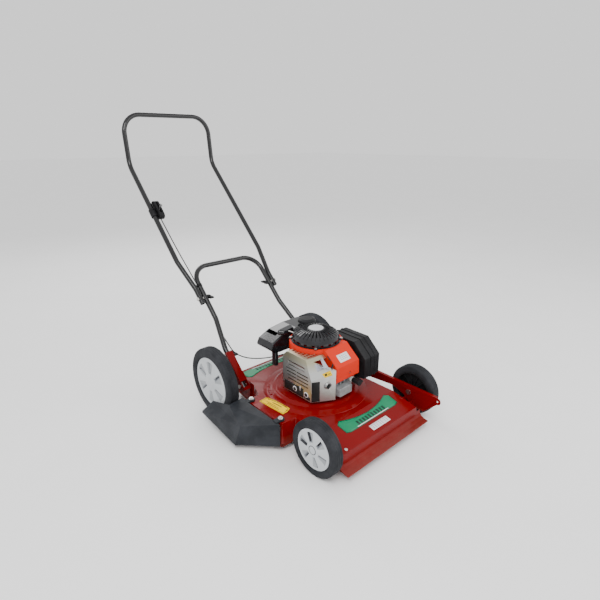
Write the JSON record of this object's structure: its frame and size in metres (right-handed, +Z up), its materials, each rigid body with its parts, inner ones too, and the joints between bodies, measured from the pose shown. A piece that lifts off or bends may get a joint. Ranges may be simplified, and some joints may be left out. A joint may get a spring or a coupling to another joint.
{
  "type": "walk-behind rotary lawn mower",
  "caption": "Petrol walk-behind rotary mower: pressed red deck with side chute, vertical-shaft engine and a folding tube handle with a throttle.",
  "frame": {"origin": "on the ground directly below the crankshaft, midway across the round blade housing", "axes": "+Z up; +Y to the rear, towards the handle; +X to the mower's left, towards the side rail"},
  "size_m": [0.717, 1.488, 1.176],
  "materials": {
    "deck_red": "gloss",
    "shroud_red": "gloss",
    "black_tube": "gloss",
    "black_plastic": "satin",
    "gloss_black": "gloss",
    "grey_plastic": "satin",
    "tyre": "matt",
    "chute_plastic": "matt",
    "zinc": "satin",
    "steel": "satin",
    "guard_metal": "satin",
    "cast_alloy": "rough",
    "cast_iron": "rough",
    "filter_paper": "matt",
    "cable_sheath": "satin",
    "rope": "matt",
    "ceramic": "gloss",
    "badge": "satin",
    "label": "satin"
  },
  "bodies": {
    "deck": {"air_cleaner_base": "black_plastic", "air_cleaner_cover": "black_plastic", "air_filter": "filter_paper", "blower_shroud": "shroud_red", "bracket_bolts": "zinc", "carburettor": "cast_alloy", "chute_screws": "zinc", "control_cable_lower": "cable_sheath", "cylinder_barrel": "cast_alloy", "cylinder_head": "cast_alloy", "deck_labels": "label", "deck_shell": "deck_red", "discharge_chute": "chute_plastic", "engine_block": "cast_alloy", "engine_bolts": "zinc", "front_wheel_bracket": "deck_red", "fuel_tank": "gloss_black", "handle_bracket_left": "deck_red", "handle_bracket_right": "deck_red", "ignition_coil": "black_plastic", "left_side_rail": "deck_red", "muffler": "steel", "muffler_guard": "guard_metal", "plug_cap": "black_plastic", "spark_plug": "ceramic", "starter_badge": "badge", "starter_cover": "gloss_black", "starter_screws": "zinc", "stub_axles": "zinc", "wheel_nuts": "zinc"},
    "wheel_front_left": {"wheel_front_left": "tyre", "wheel_cover_front_left": "grey_plastic"},
    "wheel_front_right": {"wheel_front_right": "tyre", "wheel_cover_front_right": "grey_plastic"},
    "wheel_rear_left": {"wheel_rear_left": "tyre", "wheel_cover_rear_left": "grey_plastic"},
    "wheel_rear_right": {"wheel_rear_right": "tyre", "wheel_cover_rear_right": "grey_plastic"},
    "crank": {"crankshaft": "steel", "flywheel": "cast_alloy", "blade_adapter": "cast_iron", "blade": "steel", "blade_bolt": "zinc"},
    "piston": {"piston": "cast_alloy"},
    "starter_pulley": {"starter_pulley": "black_plastic"},
    "starter_grip": {"starter_grip": "gloss_black", "starter_rope": "rope"},
    "fuel_cap": {"fuel_cap": "black_plastic"},
    "oil_cap": {"oil_cap": "black_plastic"},
    "lower_handle": {"lower_handle": "black_tube", "cable_clip": "black_plastic"},
    "upper_handle": {"upper_handle": "black_tube", "joint_bolts": "zinc", "throttle_housing": "black_plastic", "control_cable_upper": "cable_sheath"},
    "throttle_lever": {"throttle_lever": "steel"},
    "upper_knob_left": {"upper_knob_left": "black_plastic"},
    "upper_knob_right": {"upper_knob_right": "black_plastic"},
    "lower_knob_left": {"lower_knob_left": "black_plastic"},
    "lower_knob_right": {"lower_knob_right": "black_plastic"}
  },
  "joints": [
    {"name": "front_left_roll", "type": "hinge", "parent": "deck", "child": "wheel_front_left", "pos_m": [0.299, -0.273, 0.1], "axis": [1, 0, 0], "continuous": true},
    {"name": "front_right_roll", "type": "hinge", "parent": "deck", "child": "wheel_front_right", "pos_m": [-0.258, -0.273, 0.1], "axis": [1, 0, 0], "continuous": true},
    {"name": "rear_left_roll", "type": "hinge", "parent": "deck", "child": "wheel_rear_left", "pos_m": [0.245, 0.263, 0.1407], "axis": [1, 0, 0], "continuous": true},
    {"name": "rear_right_roll", "type": "hinge", "parent": "deck", "child": "wheel_rear_right", "pos_m": [-0.3055, 0.263, 0.1407], "axis": [1, 0, 0], "continuous": true},
    {"name": "crank_spin", "type": "hinge", "parent": "deck", "child": "crank", "pos_m": [0, 0, 0.2], "axis": [0, 0, 1], "continuous": true},
    {"name": "piston_stroke", "type": "slide", "parent": "deck", "child": "piston", "axis": [0, 1, 0], "range_m": [0, 0.04]},
    {"name": "starter_pull", "type": "slide", "parent": "deck", "child": "starter_grip", "axis": [-0.1668, 0.986, 0], "range_m": [0, 0.35], "stiffness_N_per_m": 30, "springref_m": -0.2, "deforming": ["starter_rope"]},
    {"name": "pulley_turn", "type": "hinge", "parent": "deck", "child": "starter_pulley", "pos_m": [0, 0, 0.336], "axis": [0, 0, 1], "range_deg": [-600, 0]},
    {"name": "fuel_cap_turn", "type": "hinge", "parent": "deck", "child": "fuel_cap", "pos_m": [0.072, 0.128, 0.345], "axis": [0, 0, 1], "range_deg": [0, 120]},
    {"name": "oil_cap_turn", "type": "hinge", "parent": "deck", "child": "oil_cap", "pos_m": [-0.064, 0.0905, 0.20517], "axis": [-0.5869, 0.7337, 0.3424], "range_deg": [0, 180]},
    {"name": "lower_fold", "type": "hinge", "parent": "deck", "child": "lower_handle", "pos_m": [0, 0.216, 0.1008], "axis": [1, 0, 0], "range_deg": [-35, 0], "deforming": ["control_cable_lower"]},
    {"name": "upper_fold", "type": "hinge", "parent": "lower_handle", "child": "upper_handle", "pos_m": [0, 0.511, 0.401], "axis": [1, 0, 0], "range_deg": [0, 130], "deforming": ["control_cable_upper"]},
    {"name": "throttle_swing", "type": "hinge", "parent": "upper_handle", "child": "throttle_lever", "pos_m": [-0.198, 0.83605, 0.75175], "axis": [1, 0, 0], "range_deg": [-30, 25]},
    {"name": "upper_knob_left_turn", "type": "hinge", "parent": "upper_handle", "child": "upper_knob_left", "pos_m": [0.16, 0.511, 0.401], "axis": [1, 0, 0], "continuous": true},
    {"name": "lower_knob_left_turn", "type": "hinge", "parent": "deck", "child": "lower_knob_left", "pos_m": [0.18, 0.31553, 0.20208], "axis": [1, 0, 0], "continuous": true},
    {"name": "upper_knob_right_turn", "type": "hinge", "parent": "upper_handle", "child": "upper_knob_right", "pos_m": [-0.16, 0.511, 0.401], "axis": [1, 0, 0], "continuous": true},
    {"name": "lower_knob_right_turn", "type": "hinge", "parent": "deck", "child": "lower_knob_right", "pos_m": [-0.18, 0.31553, 0.20208], "axis": [1, 0, 0], "continuous": true}
  ],
  "couplings": [
    {"joint": "pulley_turn", "follows": "starter_pull", "rad_per_m": -28.986}
  ]
}
